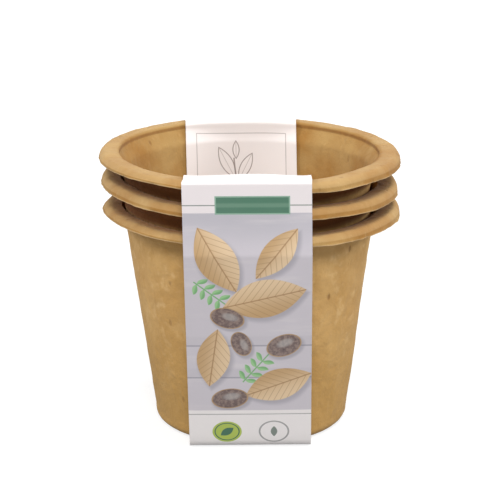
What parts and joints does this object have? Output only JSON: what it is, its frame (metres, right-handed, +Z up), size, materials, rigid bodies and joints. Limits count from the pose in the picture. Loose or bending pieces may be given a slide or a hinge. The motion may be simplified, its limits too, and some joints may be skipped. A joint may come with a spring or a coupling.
{
  "type": "pack of nested peat pots",
  "caption": "Nested round pulp plant pots with turned-down rims, held by a card strip whose ends fold over the rims and tuck into the top pot.",
  "frame": {"origin": "middle of the card strip's underside, on the surface that the pack stands on", "axes": "+Z up along the pots' common axis, -Y towards the printed front of the strip, +X to the right seen from the front"},
  "size_m": [0.14, 0.1412, 0.1327],
  "materials": {
    "pulp": "matt moulded fibre, mottled tan with fine specks",
    "card": "smooth coated card with a faint sheen, printed outside"
  },
  "bodies": {
    "band": {"band_base": "card", "band_front": "card", "band_back": "card"},
    "bottom_pot": {"bottom_pot": "pulp"},
    "middle_pot": {"middle_pot": "pulp"},
    "top_pot": {"top_pot": "pulp"},
    "front_flap": {"front_flap": "card"},
    "back_flap": {"back_flap": "card"}
  },
  "joints": [
    {"name": "stack_lift", "type": "slide", "parent": "band", "child": "bottom_pot", "axis": [0, 0, 1], "range_m": [0, 0.14], "deforming": ["front_flap", "back_flap"]},
    {"name": "middle_lift", "type": "slide", "parent": "bottom_pot", "child": "middle_pot", "axis": [0, 0, 1], "range_m": [0, 0.1], "deforming": ["front_flap", "back_flap"]},
    {"name": "top_lift", "type": "slide", "parent": "middle_pot", "child": "top_pot", "axis": [0, 0, 1], "range_m": [0, 0.1], "deforming": ["front_flap", "back_flap"]},
    {"name": "front_flap_fold", "type": "hinge", "parent": "band", "child": "front_flap", "pos_m": [0, -0.07065, 0.13068], "axis": [1, 0, 0], "range_deg": [0, 165]},
    {"name": "back_flap_fold", "type": "hinge", "parent": "band", "child": "back_flap", "pos_m": [0, 0.07065, 0.13068], "axis": [-1, 0, 0], "range_deg": [0, 165]}
  ]
}
